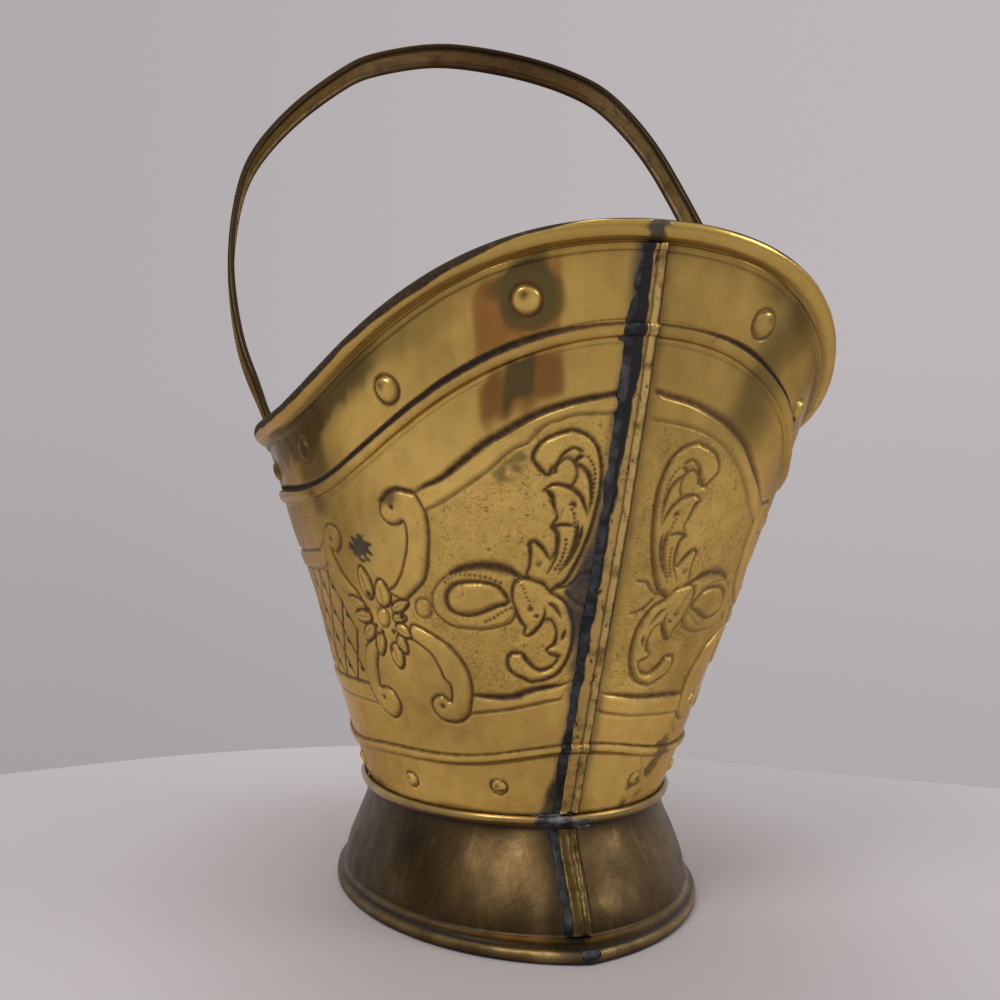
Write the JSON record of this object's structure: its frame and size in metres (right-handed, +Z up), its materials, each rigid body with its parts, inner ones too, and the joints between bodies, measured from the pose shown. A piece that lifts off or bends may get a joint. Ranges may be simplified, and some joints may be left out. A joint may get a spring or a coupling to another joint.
{
  "type": "coal scuttle",
  "caption": "Boat-shaped embossed brass coal scuttle on a flared oval foot, with a rolled wired rim that rises to a lip at each end and a swinging strip bail.",
  "frame": {"origin": "on the floor, under the middle of the foot", "axes": "+Z up; +X across the body, along the bail's pivot line; the lip that faces the camera in the picture is towards -Y"},
  "size_m": [0.2964, 0.4176, 0.4807],
  "materials": {
    "brass": "stamped sheet, satin on the raised work, brown tarnish in the hollows",
    "bright_brass": "half-round ring, rubbed bright along its crown",
    "dull_brass": "smooth sheet, evenly darkened to olive brown",
    "bronze": "dark antique brown patina, worn lighter on the folded edges",
    "solder": "grey soft solder, dull and slightly lumpy",
    "iron": "plain dark iron wire and rivets"
  },
  "bodies": {
    "scuttle": {"body_left": "brass", "body_right": "brass", "rim_wire": "iron", "front_seam_strip": "brass", "back_seam_strip": "brass", "front_seam_solder": "solder", "back_seam_solder": "solder", "bottom_plate": "brass", "collar_ring": "bright_brass", "foot_left": "dull_brass", "foot_right": "dull_brass", "foot_hoop": "iron", "foot_front_strip": "dull_brass", "foot_back_strip": "dull_brass", "foot_front_solder": "solder", "foot_back_solder": "solder", "left_ear": "brass", "right_ear": "brass", "left_washer": "brass", "right_washer": "brass", "left_pivot": "iron", "right_pivot": "iron"},
    "handle": {"handle": "bronze"}
  },
  "joints": [
    {"name": "handle_swing", "type": "hinge", "parent": "scuttle", "child": "handle", "pos_m": [0, 0, 0.208], "axis": [1, 0, 0], "range_deg": [-6, 46]}
  ]
}
